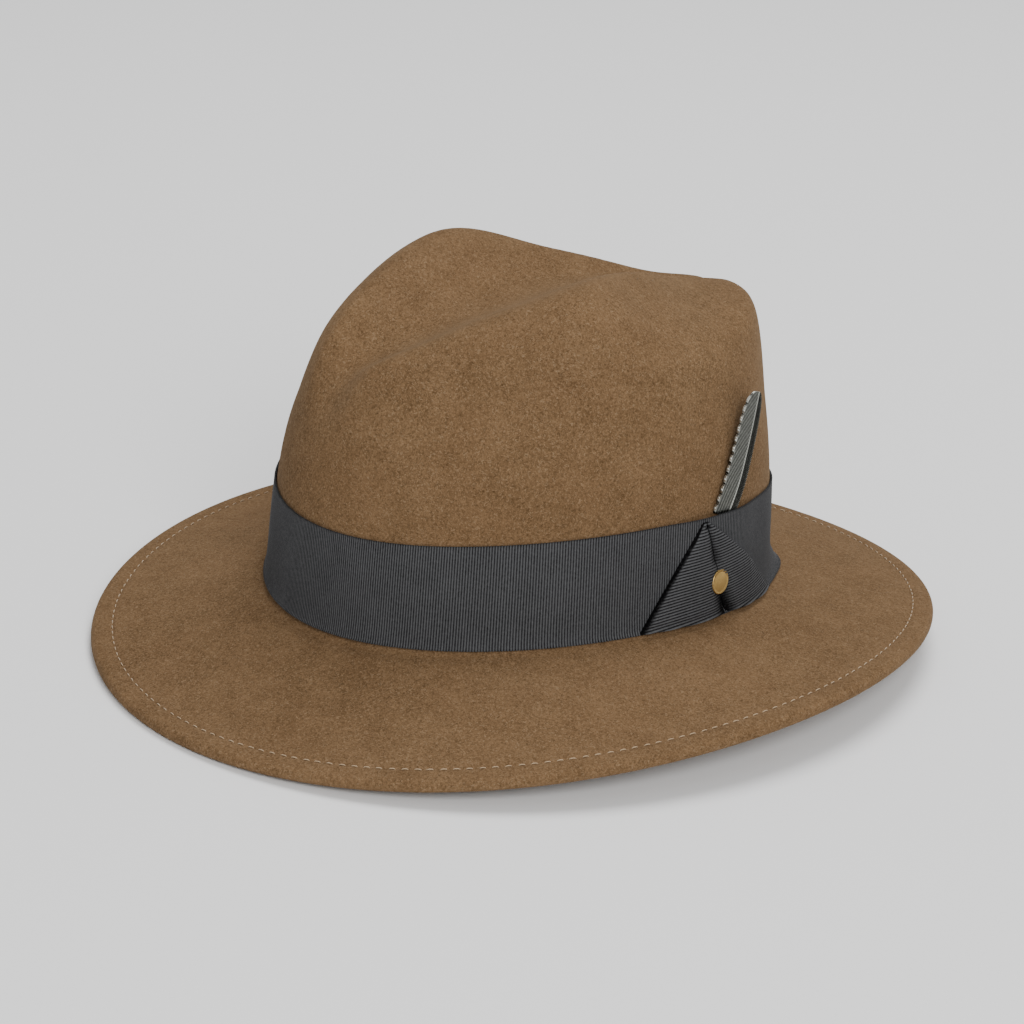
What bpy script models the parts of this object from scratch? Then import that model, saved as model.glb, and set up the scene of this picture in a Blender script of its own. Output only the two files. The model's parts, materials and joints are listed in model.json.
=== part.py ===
"""A snap-brim fedora of thick fur felt, with a grosgrain band, a folded tab, a stud, a metal
feather, a leather sweatband and a lining. Metres, +Z up, the wearer faces -Y.
The hat is drawn square to its brim line, then pitched back to the way it rests on its brim."""

import math

import bmesh
import bpy
import numpy as np
from mathutils import Matrix, Vector

MM = 0.001
ROUND = 48                 # steps round the hat
CLEAR = 0.3                # gap between touching pieces, mm

# Head opening and felt
HALF_WIDE = 87.0           # felt outside at the brim line, half the width
HALF_LONG = 104.5          # and half the length
FELT = 2.5                 # felt thickness
SADDLE = 3.7               # how far the brim line dips in front and behind
PITCH_BACK = 2.2           # degrees, as it rests on its brim

# Brim
BRIM = 68.4                # width from the brim line to the edge
STITCH_IN = 8.5            # stitching, in from the edge
WELT_IN = 10.5             # the felt is turned under this far and stitched, so it is double there
EDGE_ROUND = 1.3
STITCH_DROP = (-14.4, -7.6, -4.8, 0.1)     # height there: cosine series round the hat
EDGE_DROP = (-15.3, -8.0, -5.2, 0.6)       # height at the edge, the same way
SIDE_LIFT = (4.1, -2.5)    # the wearer's left side of the brim lifts: a sine series
BREAK_RADIUS = 5.0
THREAD = 0.5
GROOVE = 1.1               # depth of the line the stitching pulls into each side of the felt
GROOVE_HALF = 1.2

# Crown, by stations from front to back
STATION_START = -85.0
STATION_STEP = 35.0
CREST_HEIGHT = (103.2, 124.2, 140.6, 128.1, 114.8, 109.0)
DENT_HALF_WIDE = (15.8, 33.7, 45.8, 26.2, 7.4, 8.9)
DENT_DEPTH = (10.2, 18.6, 27.4, 12.0, 2.5, 2.2)
CREST_FALL = 9.5           # how far the crown top falls 40 mm out from its centre line
CREST_TWIST = 5.3          # its left lifts this much toward the back, its right toward the front
SPINE = 44.3               # half length of the centre line the crown closes on
PINCH_DEPTH = 11.4
PINCH_AT = 45.4            # degrees from the front
PINCH_WIDE = 20.9
SHOULDER = 96.5

# Ribbon band
RIBBON = 0.7
RIBBON_LOW = 1.0           # above the brim line
RIBBON_HIGH = 40.8
RIBBON_TOP_DIP = 4.2
TAB_CENTRE = 106.0         # degrees from the front toward the wearer's left
TAB_HALF = 23.0            # half the tab's foot, degrees
TAB_FOLD = 0.9
STUD_AT = TAB_CENTRE       # its pin passes through the seam between the folds
STUD_HEIGHT = 18.5
STUD_RADIUS = 5.0
PIN_RADIUS = 0.4
WASHER_RADIUS = 3.0
WASHER = 0.4

# Metal feather
FEATHER_LONG = 47.0        # the part that shows
FEATHER_FRONT = 9.5        # widest, from the quill to the front edge
FEATHER_BACK = 4.2         # and to the back edge
VANE = 0.7
QUILL = 0.5                # how far the quill stands above the vane
FEATHER_FOOT = 110.5       # degrees, where it leaves the ribbon
FEATHER_LEAN = 22.0        # degrees back from upright
STEM_LONG = 17.0           # tucked behind the ribbon
STEM_WIDE = 3.0
STEM_THICK = 0.8
POCKET = 1.9               # how far the ribbon's top stands off over the feather's foot
POCKET_LOW = 1.7           # and lower down, over the stem alone
POCKET_WIDE = 13.0         # degrees
VANE_TUCK = 2.0            # how much of the vane's foot is behind the ribbon

# Inside
SWEATBAND = 1.0
SWEATBAND_HIGH = 44.0
REED_RADIUS = 1.1
LINING = 0.5
LOOSE = 1.0                # gap between the felt and the lining's tip
BOW_HALF = 8.5             # the small bow where the sweatband's ends meet
BOW_THICK = 0.9

WALL_ROWS = (10.0, 22.0, 34.0)     # heights where the wall's pieces bend, shared so gaps stay even
CROWN_ROWS = 19
SEAM_ROW = 6               # the crown row where the lining's side meets its tip


def series(values, phi):
    return sum(value * math.cos(k * phi) for k, value in enumerate(values))


def stations(values, y):
    """A smooth curve through values given every STATION_STEP along the hat."""
    last = len(values) - 1
    t = min(max((y - STATION_START) / STATION_STEP, 0.0), last - 1e-6)
    i = int(t)
    t -= i
    ends = [2 * values[0] - values[1], *values, 2 * values[-1] - values[-2]]
    a, b, c, d = ends[i:i + 4]
    return 0.5 * (2 * b + (c - a) * t + (2 * a - 5 * b + 4 * c - d) * t**2
                  + (3 * b - a - 3 * c + d) * t**3)


def oval(phi, out=0.0):
    """A point on the head oval, moved outward square to it."""
    x, y = HALF_WIDE * math.sin(phi), -HALF_LONG * math.cos(phi)
    nx, ny = x / HALF_WIDE**2, y / HALF_LONG**2
    size = math.hypot(nx, ny)
    return x + nx / size * out, y + ny / size * out


def brim_line(phi):
    return -SADDLE * math.cos(2 * phi)


def ribbon_edge(phi, share):
    low = RIBBON_LOW + brim_line(phi)
    high = RIBBON_HIGH - RIBBON_TOP_DIP * math.cos(2 * phi)
    return low + (high - low) * share


def brim_point(phi, out):
    """The top of the brim, out from the brim line. It turns up into the crown near the line."""
    line, stitch = brim_line(phi), BRIM - STITCH_IN
    lift = SIDE_LIFT[0] * math.sin(phi) + SIDE_LIFT[1] * math.sin(2 * phi)
    at_stitch = (series(STITCH_DROP, phi) + lift - line) / stitch
    at_edge = (series(EDGE_DROP, phi) + lift - line) / BRIM
    bend = (at_edge - at_stitch) / (BRIM - stitch)
    slope = at_stitch - bend * stitch
    far = max(out, BREAK_RADIUS)
    z = line + slope * far + bend * far * far
    if out < BREAK_RADIUS:
        z += BREAK_RADIUS - math.sqrt(max(BREAK_RADIUS**2 - (BREAK_RADIUS - out)**2, 0.0))
    x, y = oval(phi, out)
    return np.array((x, y, z))


def spline_weights(count, t):
    """Weights of a clamped cubic B-spline's control points at t."""
    knots = [0.0] * 3 + [k / (count - 3) for k in range(count - 2)] + [1.0] * 3
    t = min(t, 1 - 1e-9)
    weights = [1.0 if knots[i] <= t < knots[i + 1] else 0.0 for i in range(len(knots) - 1)]
    for degree in (1, 2, 3):
        stepped = []
        for i in range(len(weights) - 1):
            left, right = knots[i + degree] - knots[i], knots[i + degree + 1] - knots[i + 1]
            value = (t - knots[i]) / left * weights[i] if left else 0.0
            value += (knots[i + degree + 1] - t) / right * weights[i + 1] if right else 0.0
            stepped.append(value)
        weights = stepped
    return weights


CROWN_STEPS = 120
CROWN_WEIGHTS = np.array([spline_weights(9, k / CROWN_STEPS) for k in range(CROWN_STEPS + 1)])


def crown_line(phi):
    """Points up the outside of the crown, from the brim line to the centre line."""
    pinch = PINCH_DEPTH / 95 * math.exp(-((abs(math.remainder(phi, math.tau)) -
                                           math.radians(PINCH_AT)) / math.radians(PINCH_WIDE))**2)
    shares = (1.0, 0.99 + 0.005 * math.cos(2 * phi), 0.972 + 0.0125 * math.cos(2 * phi),
              0.928 + 0.012 * math.cos(phi) - 0.0145 * math.cos(2 * phi) - 0.3 * pinch,
              0.823 + 0.009 * math.cos(phi) - 0.0014 * math.cos(2 * phi) - pinch,
              0.706 - 0.6 * pinch, 0.316, 0.158, 0.0)
    line = brim_line(phi)
    heights = [line, 18 + 0.5 * line, 42.0, 68.0,
               SHOULDER - 6.8 * math.cos(phi) + 3.0 * math.cos(2 * phi)]
    x, y = oval(phi)
    middle = -SPINE * math.cos(phi)
    control = []
    for k, share in enumerate(shares):
        cx, cy = share * x, middle + share * (y - middle)
        z = heights[k] if k < 5 else stations(CREST_HEIGHT, cy) - CREST_FALL * (cx / 40)**2
        control.append((cx, cy, z))
    points = CROWN_WEIGHTS @ np.array(control)
    for point in points:
        across = min(abs(point[0]) / stations(DENT_HALF_WIDE, point[1]), 1.0)
        fade = min(max((point[2] - 70) / 20, 0.0), 1.0)
        point[2] -= fade * max(stations(DENT_DEPTH, point[1]), 0.0) * (1 - across**2)**2
        fade = min(max((point[2] - 75) / 30, 0.0), 1.0)
        point[2] += fade * CREST_TWIST * point[0] / 40 * point[1] / 60
    return points


def wall_point(phi, height):
    """The outside of the crown wall at a height above the brim plane."""
    line = crown_line(phi)[:70]
    return np.array([np.interp(height, line[:, 2], line[:, axis]) for axis in range(3)])


def wall_out(phi, height):
    """The wall's outward direction."""
    step = 1e-3
    along = wall_point(phi + step, height) - wall_point(phi - step, height)
    up = wall_point(phi, height + 1) - wall_point(phi, height - 1)
    out = np.cross(along, up)
    return out / np.linalg.norm(out)


def around():
    return [math.tau * k / ROUND for k in range(ROUND)]


def sheet(name, rows, fold=None, closed=True):
    """One sheet through rows of points in mm; fold gives its thickness, inward if negative."""
    mesh = bmesh.new()
    grid = [[mesh.verts.new([float(c) * MM for c in point]) for point in row] for row in rows]
    count = len(rows[0])
    for low, high in zip(grid, grid[1:]):
        for k in range(count if closed else count - 1):
            mesh.faces.new((low[k], low[(k + 1) % count], high[(k + 1) % count], high[k]))
    bmesh.ops.remove_doubles(mesh, verts=mesh.verts, dist=0.00005)
    bmesh.ops.dissolve_degenerate(mesh, edges=mesh.edges, dist=0.00002)
    if fold is None:
        bmesh.ops.recalc_face_normals(mesh, faces=mesh.faces)
    data = bpy.data.meshes.new(name)
    mesh.to_mesh(data)
    mesh.free()
    obj = bpy.data.objects.new(name, data)
    bpy.context.scene.collection.objects.link(obj)
    if fold is not None:
        solid = obj.modifiers.new("thickness", "SOLIDIFY")
        solid.thickness = abs(fold) * MM
        solid.offset = 1.0 if fold > 0 else -1.0
        solid.use_even_offset = True
        solid.use_rim = True
    return obj


def ring(name, centres, ups, radius, sides=6):
    """A closed cord through the centres."""
    rows = []
    count = len(centres)
    for k in range(sides):
        turn = math.tau * k / sides
        row = []
        for i in range(count):
            ahead = centres[(i + 1) % count] - centres[i - 1]
            ahead /= np.linalg.norm(ahead)
            up = ups[i] - ahead * np.dot(ups[i], ahead)
            up /= np.linalg.norm(up)
            side = np.cross(ahead, up)
            row.append(centres[i] + radius * (math.cos(turn) * up + math.sin(turn) * side))
        rows.append(row)
    return sheet(name, rows + [rows[0]])


def finish(obj, colour, rough, metal=0.0, parent=None, sharp=35):
    material = bpy.data.materials.new(obj.name + "_material")
    material.use_nodes = True
    shader = material.node_tree.nodes["Principled BSDF"]
    shader.inputs["Base Color"].default_value = (*colour, 1.0)
    shader.inputs["Roughness"].default_value = rough
    shader.inputs["Metallic"].default_value = metal
    obj.data.materials.append(material)
    obj.parent = parent
    for face in obj.data.polygons:
        face.use_smooth = True
    obj.data.set_sharp_from_angle(angle=math.radians(sharp))
    return obj


def on_wall(phi, height, out):
    return wall_point(phi, height) + out * wall_out(phi, height)


def pocket(phi, z):
    """How far the ribbon stands off the felt to let the feather in."""
    away = (math.degrees(phi) - FEATHER_FOOT + 2.0) / POCKET_WIDE
    depth = np.interp(z, (0.0, WALL_ROWS[1], RIBBON_HIGH), (0.0, POCKET_LOW, POCKET))
    return depth * math.exp(-away**4)


def crown_rows(out):
    """Rows over the crown from the ribbon to the centre line, moved out by out mm."""
    lines = [crown_line(phi) for phi in around()]
    tangent = [np.gradient(line, axis=0) for line in lines]
    rows = []
    for k in range(CROWN_ROWS):
        row = []
        for i, phi in enumerate(around()):
            first = np.interp(46.0, lines[i][:70, 2], np.arange(70))
            place = first + (CROWN_STEPS - first) * k / (CROWN_ROWS - 1)
            low = min(int(place), CROWN_STEPS - 1)
            part = place - low
            blend = [(1 - part) * lines[j][low] + part * lines[j][low + 1]
                     for j in (i - 1, i, (i + 1) % ROUND)]
            normal = np.cross(blend[2] - blend[0], tangent[i][low])
            if k == CROWN_ROWS - 1:
                behind = lines[i - 1] if i % (ROUND // 2) else lines[i]
                _, run, rise = (lines[(i + 1) % ROUND] - behind)[-1]
                normal = np.array((0.0, -rise * math.copysign(1, run), abs(run)))
            row.append(blend[1] + out * normal / np.linalg.norm(normal))
        rows.append(row)
    return rows


def brim_up(phi, out):
    along = brim_point(phi + 1e-3, out) - brim_point(phi - 1e-3, out)
    outward = brim_point(phi, out + 0.5) - brim_point(phi, out - 0.5)
    up = np.cross(outward, along)
    return up / np.linalg.norm(up)


def brim_row(out, height=0.0):
    """Points round the brim, above or below its top surface."""
    return [brim_point(phi, out) + height * brim_up(phi, out) for phi in around()]


def make_felt(hat):
    """Crown and brim in one felt, the brim's edge turned under and stitched down."""
    at = BRIM - STITCH_IN
    double = 2 * FELT
    tops = [(BRIM, -EDGE_ROUND), (BRIM - EDGE_ROUND, 0), (at + GROOVE_HALF, 0), (at, -GROOVE),
            (at - GROOVE_HALF, 0)]
    outer = [brim_row(out, height) for out, height in tops]
    inner = [brim_row(out, -double - height) for out, height in tops]
    for out in (BRIM - WELT_IN, 42.0, 27.0, 14.0, BREAK_RADIUS, 1.0):
        outer.append(brim_row(out))
        inner.append(brim_row(out, -FELT))
    for height in WALL_ROWS:
        outer.append([wall_point(phi, height) for phi in around()])
        inner.append([on_wall(phi, height, -FELT) for phi in around()])
    outer += crown_rows(0.0)
    inner += crown_rows(-FELT)
    felt = sheet("felt_body", outer[::-1] + inner)
    return finish(felt, (0.16, 0.09, 0.045), 0.95, parent=hat)


def make_stitching(hat):
    at = BRIM - STITCH_IN
    ups = [brim_up(phi, at) for phi in around()]
    sunk = GROOVE - THREAD / 2 - 0.5
    for name, height in (("brim_thread_top", -sunk), ("brim_thread_under", sunk - 2 * FELT)):
        thread = ring(name, brim_row(at, height), ups, THREAD / 2, 5)
        finish(thread, (0.42, 0.30, 0.18), 0.8, parent=hat, sharp=80)


def make_ribbon(hat):
    rows = []
    foot = []
    for phi in around():
        x, y = oval(phi, 1.2 + CLEAR)
        foot.append(np.array((x, y, ribbon_edge(phi, 0.0) + 0.8)))
    rows.append(foot)
    for height in WALL_ROWS:
        rows.append([on_wall(phi, height, CLEAR + pocket(phi, height)) for phi in around()])
    rows.append([on_wall(phi, z, CLEAR + pocket(phi, z))
                 for phi, z in ((phi, ribbon_edge(phi, 1.0)) for phi in around())])
    band = sheet("ribbon_band", rows, RIBBON)
    return finish(band, (0.02, 0.02, 0.022), 0.7, parent=hat)


def make_tab(hat):
    """The ribbon's end folded to a point: a front and a back fold that meet at a seam."""
    skin = CLEAR + RIBBON + CLEAR + WASHER + CLEAR + 0.15
    centre = math.radians(TAB_CENTRE)
    half = math.radians(TAB_HALF)
    seam = math.radians(0.45)
    for name, side in (("tab_front_fold", -1), ("tab_back_fold", 1)):
        rows = []
        for step in range(7):
            share = 0.05 + 0.91 * step / 6
            reach = half * (1 - share) + math.radians(1.4)
            row = []
            for k in range(6):
                phi = centre + side * (seam + (reach - seam) * k / 5)
                z = ribbon_edge(phi, share)
                foot = max(0.0, 1.0 - (z - brim_line(phi)) / 10) * 1.4
                row.append(on_wall(phi, z, skin + foot + pocket(phi, z)))
            rows.append(row if side > 0 else row[::-1])
        fold = sheet(name, rows, TAB_FOLD, closed=False)
        finish(fold, (0.022, 0.022, 0.024), 0.7, parent=hat)


def lathe(name, profile, place, out, sides=24):
    """A turned piece: (radius, height) pairs along the direction out."""
    axis = Vector([float(c) for c in out]).normalized()
    turn = axis.to_track_quat("Z", "Y").to_matrix()
    rows = []
    for radius, height in profile:
        row = []
        for k in range(sides):
            angle = math.tau * k / sides
            spot = turn @ Vector((radius * math.cos(angle), radius * math.sin(angle), height))
            row.append(np.array(place) + np.array(spot))
        rows.append(row)
    return sheet(name, rows)


def make_stud(hat):
    """A flat head on a thin pin that passes down the seam into a washer behind the folds."""
    phi = math.radians(STUD_AT)
    place = wall_point(phi, STUD_HEIGHT)
    out = wall_out(phi, STUD_HEIGHT)
    behind = CLEAR + RIBBON + CLEAR + pocket(phi, STUD_HEIGHT) + 0.1
    base = behind + WASHER + CLEAR + TAB_FOLD + CLEAR + 0.3
    head = [(0.0, behind), (PIN_RADIUS, behind), (PIN_RADIUS, base), (STUD_RADIUS - 0.3, base),
            (STUD_RADIUS, base + 0.3), (STUD_RADIUS, base + 0.9),
            (STUD_RADIUS - 0.5, base + 1.4), (0.0, base + 1.5)]
    finish(lathe("stud_head", head, place, out), (0.62, 0.42, 0.16), 0.35, 1.0, parent=hat)
    hole = PIN_RADIUS + CLEAR
    low, high = behind, behind + WASHER
    washer = [(hole, low), (WASHER_RADIUS, low), (WASHER_RADIUS, high), (hole, high), (hole, low)]
    finish(lathe("stud_washer", washer, place, out), (0.55, 0.45, 0.25), 0.4, 1.0, parent=hat)


def loft(name, rings):
    """A solid through closed rings of points, with flat ends."""
    mesh = bmesh.new()
    grid = [[mesh.verts.new([float(c) * MM for c in point]) for point in row] for row in rings]
    count = len(rings[0])
    for low, high in zip(grid, grid[1:]):
        for k in range(count):
            mesh.faces.new((low[k], low[(k + 1) % count], high[(k + 1) % count], high[k]))
    mesh.faces.new(grid[0])
    mesh.faces.new(grid[-1])
    bmesh.ops.recalc_face_normals(mesh, faces=mesh.faces)
    data = bpy.data.meshes.new(name)
    mesh.to_mesh(data)
    mesh.free()
    obj = bpy.data.objects.new(name, data)
    bpy.context.scene.collection.objects.link(obj)
    return obj


def feather_frame():
    """Foot, direction up the feather, across it toward the back, and out from the crown."""
    phi = math.radians(FEATHER_FOOT)
    z = ribbon_edge(phi, 1.0)
    out = wall_out(phi, z - 8)
    up = np.array((0.0, 0.0, 1.0))
    up -= out * np.dot(up, out)
    up /= np.linalg.norm(up)
    across = np.cross(up, out)
    lean = math.radians(FEATHER_LEAN)
    long = up * math.cos(lean) + across * math.sin(lean)
    wide = np.cross(long, out)
    return wall_point(phi, z) + out * (CLEAR + 0.1), long, wide, out


def make_feather(hat):
    """A cast vane with a raised quill, and a flat stem that slides behind the ribbon."""
    slide = bpy.data.objects.new("feather_slide", None)
    bpy.context.scene.collection.objects.link(slide)
    slide.parent = hat
    foot, long, wide, out = feather_frame()
    axes = np.array((wide, long, out)).T
    slide.matrix_local = Matrix.Translation([float(c) * MM for c in foot]) @ Matrix(
        [[float(c) for c in row] for row in axes]).to_4x4()
    rings = []
    half = STEM_WIDE / 2
    for y in (-STEM_LONG, -VANE_TUCK - 1.0):
        rings.append([(-half, y, 0), (-half, y, STEM_THICK), (-half / 2, y, STEM_THICK),
                      (0, y, STEM_THICK), (half / 2, y, STEM_THICK), (half, y, STEM_THICK),
                      (half, y, 0), (0, y, 0)])
    for step in range(11):
        t = step / 10
        y = (FEATHER_LONG + VANE_TUCK) * t - VANE_TUCK
        swell = (1 - 0.2 * t) * math.sqrt(1 - t**10) + 0.06
        front = -FEATHER_FRONT * min(swell, 1.0)
        back = FEATHER_BACK * min(swell, 1.0)
        low = 0.15 + 1.2 * math.sin(math.pi * min(t * 1.4, 0.5))
        top = low + VANE
        quill = 0.9 - 0.45 * t
        rings.append([(front, y, low), (front, y, top), (-quill, y, top), (0, y, top + QUILL),
                      (quill, y, top), (back, y, top), (back, y, low), (0, y, low)])
    feather = loft("metal_feather", rings)
    return finish(feather, (0.30, 0.30, 0.28), 0.4, 1.0, parent=slide)


def make_inside(hat):
    inside = -(FELT + CLEAR + LINING + CLEAR)
    heights = [7.0, *WALL_ROWS, SWEATBAND_HIGH]
    rows = [[on_wall(phi, height, inside) for phi in around()] for height in heights]
    band = sheet("sweatband", rows, -SWEATBAND)
    finish(band, (0.09, 0.045, 0.02), 0.45, parent=hat)
    over = crown_rows(-(FELT + CLEAR))
    rows = [[on_wall(phi, height, -(FELT + CLEAR)) for phi in around()] for height in WALL_ROWS]
    top = [point - np.array((0, 0, CLEAR)) for point in over[SEAM_ROW]]
    side = sheet("lining_side", rows + over[:SEAM_ROW] + [top], -LINING)
    finish(side, (0.10, 0.07, 0.05), 0.4, parent=hat)
    tip = sheet("lining_tip", crown_rows(-(FELT + LOOSE))[SEAM_ROW:], -LINING)
    finish(tip, (0.10, 0.07, 0.05), 0.4, parent=hat)
    centres = []
    ups = []
    for phi in around():
        out = wall_out(phi, 7.0)
        middle = on_wall(phi, 7.0, inside - SWEATBAND / 2)
        centres.append(middle - np.array((0, 0, REED_RADIUS + CLEAR)))
        ups.append(out)
    reed = ring("sweatband_reed", centres, ups, REED_RADIUS, 6)
    finish(reed, (0.30, 0.20, 0.12), 0.5, parent=hat, sharp=80)
    rings = []
    for step in range(7):
        t = step / 3 - 1
        phi = math.pi + t * BOW_HALF / HALF_LONG
        tall = 1.6 + 3.4 * abs(t)
        low, high = 30.0 - tall, 30.0 + tall
        face = inside - SWEATBAND - CLEAR
        rings.append([on_wall(phi, low, face), on_wall(phi, high, face),
                      on_wall(phi, high, face - BOW_THICK), on_wall(phi, low, face - BOW_THICK)])
    finish(loft("sweatband_bow", rings), (0.06, 0.035, 0.02), 0.6, parent=hat)


def settle(hat, felt):
    """Stand the hat on its brim, with the frame's origin under the middle of it."""
    bpy.context.view_layer.update()
    shape = felt.evaluated_get(bpy.context.evaluated_depsgraph_get()).to_mesh()
    spots = np.array([felt.matrix_world @ vertex.co for vertex in shape.vertices])
    low, high = spots.min(axis=0), spots.max(axis=0)
    hat.location = (-(low[0] + high[0]) / 2, -(low[1] + high[1]) / 2, -low[2])


def main():
    for obj in list(bpy.data.objects):
        bpy.data.objects.remove(obj)
    hat = bpy.data.objects.new("hat_frame", None)
    bpy.context.scene.collection.objects.link(hat)
    hat.rotation_euler = (math.radians(-PITCH_BACK), 0, 0)
    felt = make_felt(hat)
    make_stitching(hat)
    make_ribbon(hat)
    make_tab(hat)
    make_stud(hat)
    make_feather(hat)
    make_inside(hat)
    settle(hat, felt)


main()
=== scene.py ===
"""A brown fur-felt fedora with a dark grosgrain band, a folded tab with a gilt stud, and a
pewter feather. Shapes are worked out in millimetres in the hat's own frame, square to its brim
line, then pitched back to the way the hat rests."""

import json
import math

import bmesh
import bpy
import numpy as np
from mathutils import Matrix, Vector

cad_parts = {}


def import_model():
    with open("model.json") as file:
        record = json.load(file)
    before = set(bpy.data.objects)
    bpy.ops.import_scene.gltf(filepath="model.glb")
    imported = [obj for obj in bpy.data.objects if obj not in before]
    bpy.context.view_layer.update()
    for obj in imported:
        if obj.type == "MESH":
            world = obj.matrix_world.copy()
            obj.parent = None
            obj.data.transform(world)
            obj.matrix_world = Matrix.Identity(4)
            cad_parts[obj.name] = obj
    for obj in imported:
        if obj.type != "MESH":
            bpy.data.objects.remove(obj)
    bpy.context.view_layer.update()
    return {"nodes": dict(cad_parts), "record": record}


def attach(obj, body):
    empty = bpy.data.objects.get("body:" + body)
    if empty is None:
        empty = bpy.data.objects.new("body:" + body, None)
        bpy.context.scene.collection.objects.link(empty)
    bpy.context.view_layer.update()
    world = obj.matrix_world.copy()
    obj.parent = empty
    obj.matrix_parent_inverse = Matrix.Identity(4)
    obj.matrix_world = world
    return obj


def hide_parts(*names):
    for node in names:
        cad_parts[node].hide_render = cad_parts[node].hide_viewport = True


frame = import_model()

MM = 0.001
TURN = math.tau

# ---------------------------------------------------------------- sizes, in millimetres

HALF_WIDE, HALF_LONG = 87.0, 104.5
FELT = 2.5
SADDLE = 3.7
PITCH_BACK = math.radians(2.2)

BRIM = 68.4
STITCH_IN, WELT_IN = 8.5, 10.5
STITCH_DROP = (-14.4, -7.6, -4.8, 0.1)
EDGE_DROP = (-15.3, -8.0, -5.2, 0.6)
SIDE_LIFT = (4.1, -2.5)
STITCH_PITCH = 4.6
BREAK_RADIUS = 5.0

STATION_START, STATION_STEP = -85.0, 35.0
CREST_HEIGHT = (103.2, 124.2, 140.6, 128.1, 114.8, 109.0)
DENT_HALF_WIDE = (15.8, 33.7, 45.8, 26.2, 7.4, 8.9)
DENT_DEPTH = (10.2, 18.6, 27.4, 12.0, 2.5, 2.2)
CREST_FALL, CREST_TWIST, SPINE, SHOULDER = 9.5, 5.3, 44.3, 96.5
PINCH_DEPTH, PINCH_AT, PINCH_WIDE = 11.4, math.radians(45.4), math.radians(20.9)

RIBBON = 0.7
RIBBON_LOW, RIBBON_HIGH, RIBBON_TOP_DIP = 1.0, 40.8, 4.2
FOOT_FLARE, FOOT_FLARE_AT = 5.4, math.radians(160.0)
RIBS, COLUMNS_A_RIB, TAB_RIB = 588, 5, 1.13
CLEAR = 0.3

TAB_APEX, TAB_SEAM = math.radians(101.8), math.radians(110.0)
TAB_FRONT, TAB_BACK = math.radians(85.5), math.radians(133.8)
STUD_AT, STUD_HEIGHT, STUD_RADIUS = math.radians(106.0), 18.5, 4.9

FEATHER_LONG, VANE_TUCK = 47.0, 2.0
FEATHER_FRONT, FEATHER_BACK = 9.7, 4.5
FEATHER_FOOT, FEATHER_LEAN = math.radians(110.5), math.radians(22.0)
POCKET, POCKET_LOW, POCKET_WIDE = 1.9, 1.7, math.radians(13.0)
STEM_LONG, STEM_WIDE, STEM_THICK = 17.0, 3.0, 0.8

SWEATBAND, SWEATBAND_HIGH = 1.0, 44.0
LINING, LOOSE = 0.5, 1.0
LINING_LOW = 16.0

# ---------------------------------------------------------------- the hat's own frame

opening = next(m for m in frame["record"]["mounts"] if m["name"] == "head_opening")
TILT = Matrix.Rotation(-PITCH_BACK, 4, "X")
HAT_FRAME = Matrix.Translation(opening["pos_m"]) @ TILT
TO_WORLD = np.array(HAT_FRAME)


def world(points):
    """Hat-frame millimetres to metres in the row's frame."""
    return np.asarray(points) * MM @ TO_WORLD[:3, :3].T + TO_WORLD[:3, 3]


# ---------------------------------------------------------------- shapes shared by the pieces

def series(values, phi):
    """A cosine series round the hat; phi is 0 in front and a quarter turn at the left."""
    return sum(value * np.cos(k * phi) for k, value in enumerate(values))


def stations(values, y):
    """A smooth curve through values given every STATION_STEP along the hat."""
    last = len(values) - 1
    t = np.clip((y - STATION_START) / STATION_STEP, 0.0, last - 1e-6)
    i = np.floor(t).astype(int)
    t = t - i
    ends = np.array([2 * values[0] - values[1], *values, 2 * values[-1] - values[-2]])
    a, b, c, d = ends[i], ends[i + 1], ends[i + 2], ends[i + 3]
    return 0.5 * (2 * b + (c - a) * t + (2 * a - 5 * b + 4 * c - d) * t**2
                  + (3 * b - a - 3 * c + d) * t**3)


def oval(phi, out=0.0):
    """The brim line seen from above, moved out square to itself."""
    x, y = HALF_WIDE * np.sin(phi), -HALF_LONG * np.cos(phi)
    nx, ny = x / HALF_WIDE**2, y / HALF_LONG**2
    size = np.hypot(nx, ny)
    return x + nx / size * out, y + ny / size * out


def brim_line(phi):
    """The height where crown and brim meet."""
    return -SADDLE * np.cos(2 * phi)


def brim_top(phi, out):
    """The brim's top surface, without the turn up into the crown."""
    line, stitch = brim_line(phi), BRIM - STITCH_IN
    lift = SIDE_LIFT[0] * np.sin(phi) + SIDE_LIFT[1] * np.sin(2 * phi)
    at_stitch = (series(STITCH_DROP, phi) + lift - line) / stitch
    at_edge = (series(EDGE_DROP, phi) + lift - line) / BRIM
    bend = (at_edge - at_stitch) / (BRIM - stitch)
    slope = at_stitch - bend * stitch
    return line + slope * out + bend * out * out


def brim_point(phi, out):
    z = brim_top(phi, np.maximum(out, BREAK_RADIUS))
    inner = np.clip(BREAK_RADIUS - out, 0.0, BREAK_RADIUS)
    z = z + BREAK_RADIUS - np.sqrt(BREAK_RADIUS**2 - inner**2)
    x, y = oval(phi, out)
    return np.stack(np.broadcast_arrays(x, y, z), -1)


def brim_up(phi, out):
    along = brim_point(phi + 1e-3, out) - brim_point(phi - 1e-3, out)
    outward = brim_point(phi, out + 0.3) - brim_point(phi, out - 0.3)
    up = np.cross(outward, along)
    return up / np.linalg.norm(up, axis=-1, keepdims=True)


def ribbon_edge(phi, share):
    """Heights over the ribbon, from its foot at share 0 to its top at 1."""
    low = RIBBON_LOW + brim_line(phi)
    high = RIBBON_HIGH - RIBBON_TOP_DIP * np.cos(2 * phi)
    return low + (high - low) * share


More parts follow.
